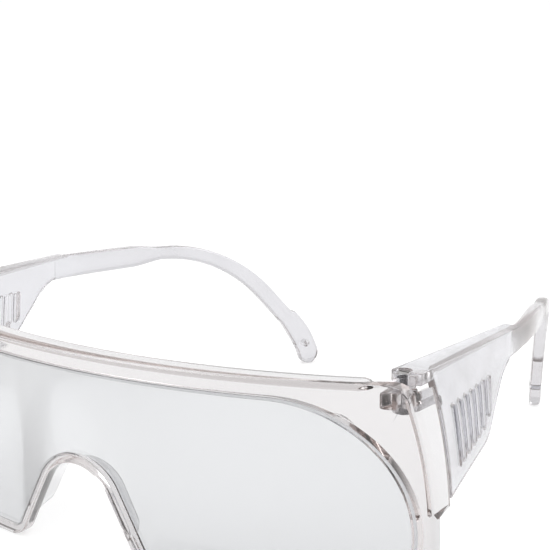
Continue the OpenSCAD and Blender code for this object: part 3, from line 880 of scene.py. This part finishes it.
def hinge_ears():
    """The ears above and below the front's barrel, with their webs out to the temple."""
    ear_top = HINGE_TOP - EAR_DROP
    top = round_post("top_ear", HINGE_X, HINGE_Y, TOP_EAR_Z, ear_top, BARREL_R)
    top_web = block(
        "top_web", (HINGE_X, HINGE_Y - WEB_W / 2, TOP_EAR_Z),
        (HINGE_X + FLANGE_FRONT_W / 2, HINGE_Y + WEB_W / 2, ear_top))
    low = round_post("low_ear", HINGE_X, HINGE_Y, LOW_EAR_BOTTOM, LOW_EAR_TOP, BARREL_R)
    low_web = block(
        "low_web", (HINGE_X - BARREL_R, HINGE_Y, LOW_EAR_BOTTOM),
        (HINGE_X + BARREL_R, SHIELD_START_Y + BARREL_R, LOW_EAR_TOP))
    wall_x = shield_x(SHIELD_START_Y, LOW_EAR_BOTTOM) - SHIELD_T / 2
    side_web = block(
        "side_web", (HINGE_X - BARREL_R, SHIELD_START_Y, LOW_EAR_BOTTOM),
        (wall_x, SHIELD_START_Y + BARREL_R, LOW_EAR_TOP))
    return [top, top_web, low, low_web, side_web]


HOLE_SIDES = 36


def cord_hole():
    """Neck-cord hole across the tip."""
    centre, side, up = arm_frame(CORD_S)
    along = side.cross(up)
    turns = round_turns(HOLE_SIDES)
    rings = [
        [tuple(centre + side * reach + along * CORD_R * cosd(a) + up * CORD_R * sind(a)) for a in turns]
        for reach in (-TIP_T, TIP_T)
    ]
    return loft("cord_hole", rings)


def make_temple():
    temple = make_flange()
    temple.name = "right_temple_shell"
    ribs = [vent_rib(i) for i in range(1, VENTS)]
    combine(temple, [make_shield(), make_arm()] + hinge_ears() + ribs, "UNION")
    bores = [
        round_post(name, HINGE_X, HINGE_Y, low, high, r, 0)
        for name, low, high, r in (
            ("low_bore", LOW_EAR_BOTTOM - CUT, LOW_EAR_TOP + CUT, SCREW_R),
            ("top_bore", TOP_EAR_Z - CUT, HINGE_TOP + CUT, SCREW_R + RUNNING_GAP),
            ("recess", HEAD_Z, HINGE_TOP + CUT, HEAD_R + RUNNING_GAP),
        )
    ]
    combine(temple, [vent_slot(i) for i in range(VENTS)] + bores + [cord_hole()], "DIFFERENCE")
    return temple


HEAD_EDGE_R = 0.3
# How much thinner the shank is than its bore, to keep the two surfaces apart
SHANK_GAP = 0.01


def make_screw():
    """Hinge screw with a rounded, slotted head."""
    screw = round_post(
        "right_hinge_screw_shell", HINGE_X, HINGE_Y, HEAD_Z, HEAD_Z + HEAD_H, HEAD_R, HEAD_EDGE_R)
    shank = round_post(
        "shank", HINGE_X, HINGE_Y, LOW_EAR_BOTTOM, HEAD_Z + HEAD_H / 2, SCREW_R - SHANK_GAP, FINE_EDGE_R)
    combine(screw, [shank], "UNION")
    slot = block(
        "slot", (HINGE_X - HEAD_R - CUT, HINGE_Y - SLOT_W / 2, HEAD_Z + HEAD_H / 2),
        (HINGE_X + HEAD_R + CUT, HINGE_Y + SLOT_W / 2, HEAD_Z + 2 * HEAD_H), FINE_EDGE_R)
    combine(screw, [slot], "DIFFERENCE")
    return screw


# Materials
def new_material(name):
    material = bpy.data.materials.new(name)
    material.use_nodes = True
    nodes = material.node_tree.nodes
    nodes.clear()
    return material, nodes, material.node_tree.links


def noise(nodes, links, scale, detail, source):
    node = nodes.new("ShaderNodeTexNoise")
    node.inputs["Scale"].default_value = scale
    node.inputs["Detail"].default_value = detail
    links.new(source, node.inputs["Vector"])
    return node.outputs["Fac"]


def ramp(nodes, links, source, low, high, first, last):
    node = nodes.new("ShaderNodeMapRange")
    node.inputs["From Min"].default_value = low
    node.inputs["From Max"].default_value = high
    node.inputs["To Min"].default_value = first
    node.inputs["To Max"].default_value = last
    links.new(source, node.inputs["Value"])
    return node.outputs["Result"]


def any_ray(nodes, links, *kinds):
    """1 for rays of any of these kinds, and 0 for others."""
    path = nodes.new("ShaderNodeLightPath")
    found = path.outputs[kinds[0]]
    for kind in kinds[1:]:
        most = nodes.new("ShaderNodeMath")
        most.operation = "MAXIMUM"
        links.new(found, most.inputs[0])
        links.new(path.outputs[kind], most.inputs[1])
        found = most.outputs[0]
    return found


POLYCARBONATE_IOR = 1.585
# Scale and detail of the smudges and of the ripples, and the part of the smudges that counts
SMUDGE = (90, 4)
FLOW = (160, 2)
SMUDGE_FROM, SMUDGE_TO = 0.4, 0.75
# How much light the plastic lets on to what it shades
SHADE = (0.86, 0.86, 0.86)


def clear_plastic(name, through, smooth, rough, tint, density, ripple):
    """Clear moulded plastic with smudges, faint flow ripples and a tint that deepens with its thickness."""
    material, nodes, links = new_material(name)
    place = nodes.new("ShaderNodeTexCoord").outputs["Object"]
    smudge = noise(nodes, links, *SMUDGE, place)
    flow = noise(nodes, links, *FLOW, place)
    plastic = nodes.new("ShaderNodeBsdfPrincipled")
    plastic.inputs["Base Color"].default_value = (*through, 1)
    plastic.inputs["Transmission Weight"].default_value = 1
    plastic.inputs["IOR"].default_value = POLYCARBONATE_IOR
    gloss = ramp(nodes, links, smudge, SMUDGE_FROM, SMUDGE_TO, smooth, rough)
    links.new(gloss, plastic.inputs["Roughness"])
    bump = nodes.new("ShaderNodeBump")
    bump.inputs["Strength"].default_value = 1
    bump.inputs["Distance"].default_value = ripple * MM
    links.new(flow, bump.inputs["Height"])
    links.new(bump.outputs["Normal"], plastic.inputs["Normal"])
    see_through = nodes.new("ShaderNodeBsdfTransparent")
    see_through.inputs["Color"].default_value = (*SHADE, 1)
    mix = nodes.new("ShaderNodeMixShader")
    links.new(any_ray(nodes, links, "Is Shadow Ray"), mix.inputs["Fac"])
    links.new(plastic.outputs["BSDF"], mix.inputs[1])
    links.new(see_through.outputs["BSDF"], mix.inputs[2])
    absorb = nodes.new("ShaderNodeVolumeAbsorption")
    absorb.inputs["Color"].default_value = (*tint, 1)
    absorb.inputs["Density"].default_value = density
    output = nodes.new("ShaderNodeOutputMaterial")
    links.new(mix.outputs["Shader"], output.inputs["Surface"])
    links.new(absorb.outputs["Volume"], output.inputs["Volume"])
    return material


# Scale and detail of the steel's marks and dull spots, the part of the marks that counts, and its gloss
MARKS = (2600, 3)
DULL_SPOTS = (500, 2)
MARKS_FROM, MARKS_TO = 0.3, 0.7
STEEL_SMOOTH, STEEL_ROUGH = 0.22, 0.42
DARK_STEEL = (0.30, 0.29, 0.29)
PALE_STEEL = (0.52, 0.51, 0.50)


def screw_steel():
    """Turned steel with fine marks and a little dullness."""
    material, nodes, links = new_material("screw_steel")
    place = nodes.new("ShaderNodeTexCoord").outputs["Object"]
    marks = noise(nodes, links, *MARKS, place)
    dull = noise(nodes, links, *DULL_SPOTS, place)
    steel = nodes.new("ShaderNodeBsdfPrincipled")
    steel.inputs["Metallic"].default_value = 1
    colour = nodes.new("ShaderNodeValToRGB")
    colour.color_ramp.elements[0].color = (*DARK_STEEL, 1)
    colour.color_ramp.elements[1].color = (*PALE_STEEL, 1)
    links.new(dull, colour.inputs["Fac"])
    links.new(colour.outputs["Color"], steel.inputs["Base Color"])
    gloss = ramp(nodes, links, marks, MARKS_FROM, MARKS_TO, STEEL_SMOOTH, STEEL_ROUGH)
    links.new(gloss, steel.inputs["Roughness"])
    output = nodes.new("ShaderNodeOutputMaterial")
    links.new(steel.outputs["BSDF"], output.inputs["Surface"])
    return material


SHARP_ANGLE = 35


def dress(piece, material, body, slot, *nodes):
    """Gives a piece its material and its body, in the place of CAD nodes."""
    piece.data.materials.clear()
    piece.data.materials.append(material)
    piece.data.shade_smooth()
    piece.data.set_sharp_from_angle(angle=math.radians(SHARP_ANGLE))
    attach(piece, body)
    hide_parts(*nodes)


frame_plastic = clear_plastic(
    "frame_plastic", through=(0.785, 0.792, 0.805), smooth=0.03, rough=0.10,
    tint=(0.55, 0.42, 0.38), density=65, ripple=0.012)
lens_plastic = clear_plastic(
    "lens_plastic", through=(0.74, 0.75, 0.765), smooth=0.0, rough=0.03,
    tint=(0.55, 0.53, 0.52), density=55, ripple=0.004)
temple_plastic = clear_plastic(
    "temple_plastic", through=(0.70, 0.705, 0.735), smooth=0.12, rough=0.30,
    tint=(0.60, 0.52, 0.49), density=50, ripple=0.02)
steel = screw_steel()

dress(make_front(), frame_plastic, "front", "clear_frame", "front_frame")
dress(make_lens(), lens_plastic, "front", "clear_lens", "lens")
right_temple = make_temple()
left_temple = mirrored_copy(right_temple, "left_temple_shell")
dress(right_temple, temple_plastic, "right_temple", "clear_temple", "right_temple")
dress(left_temple, temple_plastic, "left_temple", "clear_temple", "left_temple")
right_screw = make_screw()
left_screw = mirrored_copy(right_screw, "left_hinge_screw_shell")
dress(right_screw, steel, "right_temple", "screw_steel", "right_hinge_screw")
dress(left_screw, steel, "left_temple", "screw_steel", "left_hinge_screw")


# Stage, light and camera
FLOOR_SIZE = 6
FLOOR_COLOUR = (0.8, 0.8, 0.8)
FLOOR_GLOW = 0.22
# Where the studio is dark, to the right of the front, and how dark: from the cosine of the angle to it
DARK_SIDE = (0.55, -0.75, 0.35)
DARK_FROM, DARK_TO = 0.3, 0.8
DARK_LEVEL = 0.08


def make_floor():
    mesh = bpy.data.meshes.new("floor")
    h = FLOOR_SIZE / 2
    mesh.from_pydata([(-h, -h, 0), (h, -h, 0), (h, h, 0), (-h, h, 0)], [], [(0, 1, 2, 3)])
    floor = bpy.data.objects.new("floor", mesh)
    bpy.context.scene.collection.objects.link(floor)
    material, nodes, links = new_material("floor")
    matt = nodes.new("ShaderNodeBsdfDiffuse")
    matt.inputs["Color"].default_value = (*FLOOR_COLOUR, 1)
    glow = nodes.new("ShaderNodeEmission")
    glow.inputs["Color"].default_value = (1, 1, 1, 1)
    seen = any_ray(nodes, links, "Is Camera Ray", "Is Glossy Ray", "Is Transmission Ray")
    strength = nodes.new("ShaderNodeMath")
    strength.operation = "MULTIPLY"
    strength.inputs[1].default_value = FLOOR_GLOW
    links.new(seen, strength.inputs[0])
    links.new(strength.outputs[0], glow.inputs["Strength"])
    both = nodes.new("ShaderNodeAddShader")
    links.new(matt.outputs["BSDF"], both.inputs[0])
    links.new(glow.outputs["Emission"], both.inputs[1])
    output = nodes.new("ShaderNodeOutputMaterial")
    links.new(both.outputs["Shader"], output.inputs["Surface"])
    mesh.materials.append(material)


def make_world():
    """White where it is seen and for matt light, with a dark side that only the plastic bends into view."""
    world = bpy.data.worlds.new("studio")
    world.use_nodes = True
    bpy.context.scene.world = world
    nodes, links = world.node_tree.nodes, world.node_tree.links
    nodes.clear()
    place = nodes.new("ShaderNodeTexCoord")
    aim = nodes.new("ShaderNodeVectorMath")
    aim.operation = "DOT_PRODUCT"
    aim.inputs[1].default_value = Vector(DARK_SIDE).normalized()
    links.new(place.outputs["Generated"], aim.inputs[0])
    bent = ramp(nodes, links, aim.outputs["Value"], DARK_FROM, DARK_TO, 1, DARK_LEVEL)
    plain = any_ray(nodes, links, "Is Camera Ray", "Is Diffuse Ray", "Is Shadow Ray")
    level = nodes.new("ShaderNodeMath")
    level.operation = "MAXIMUM"
    links.new(plain, level.inputs[0])
    links.new(bent, level.inputs[1])
    sky = nodes.new("ShaderNodeBackground")
    sky.inputs["Color"].default_value = (1, 1, 1, 1)
    links.new(level.outputs[0], sky.inputs["Strength"])
    output = nodes.new("ShaderNodeOutputWorld")
    links.new(sky.outputs["Background"], output.inputs["Surface"])


STAGE_MIDDLE = (0, 0, 0.02)


def add_lamp(name, place, size, power):
    """A soft lamp that faces the middle of the stage."""
    light = bpy.data.lights.new(name, "AREA")
    light.shape = "RECTANGLE"
    light.size, light.size_y = size
    light.energy = power
    lamp = bpy.data.objects.new(name, light)
    lamp.location = place
    lamp.rotation_euler = (Vector(STAGE_MIDDLE) - Vector(place)).to_track_quat("-Z", "Y").to_euler()
    bpy.context.scene.collection.objects.link(lamp)


PHOTO_SIZE = 550
FOCAL_PIXELS = 1476
SENSOR = 36
CAMERA_PLACE = (203.6, -226.0, 132.6)
CAMERA_VIEW = (-0.5421, 0.8097, -0.2250)


def make_camera():
    data = bpy.data.cameras.new("camera")
    data.sensor_width = SENSOR
    data.lens = SENSOR * FOCAL_PIXELS / PHOTO_SIZE
    camera = bpy.data.objects.new("camera", data)
    x, y, z = CAMERA_PLACE
    camera.location = (x * MM, y * MM + BROW_Y, z * MM)
    camera.rotation_euler = Vector(CAMERA_VIEW).to_track_quat("-Z", "Y").to_euler()
    bpy.context.scene.collection.objects.link(camera)
    bpy.context.scene.camera = camera


make_floor()
make_world()
add_lamp("key", place=(-0.5, -0.5, 0.9), size=(0.6, 0.6), power=3)
add_lamp("back", place=(0.3, 0.8, 0.7), size=(0.8, 0.4), power=2)
make_camera()
bpy.context.scene.view_settings.view_transform = "Standard"

# Light goes to and fro inside clear plastic many times
LIGHT_TURNS = 32
light_paths = bpy.context.scene.cycles
light_paths.max_bounces = LIGHT_TURNS
light_paths.glossy_bounces = LIGHT_TURNS
light_paths.transmission_bounces = LIGHT_TURNS
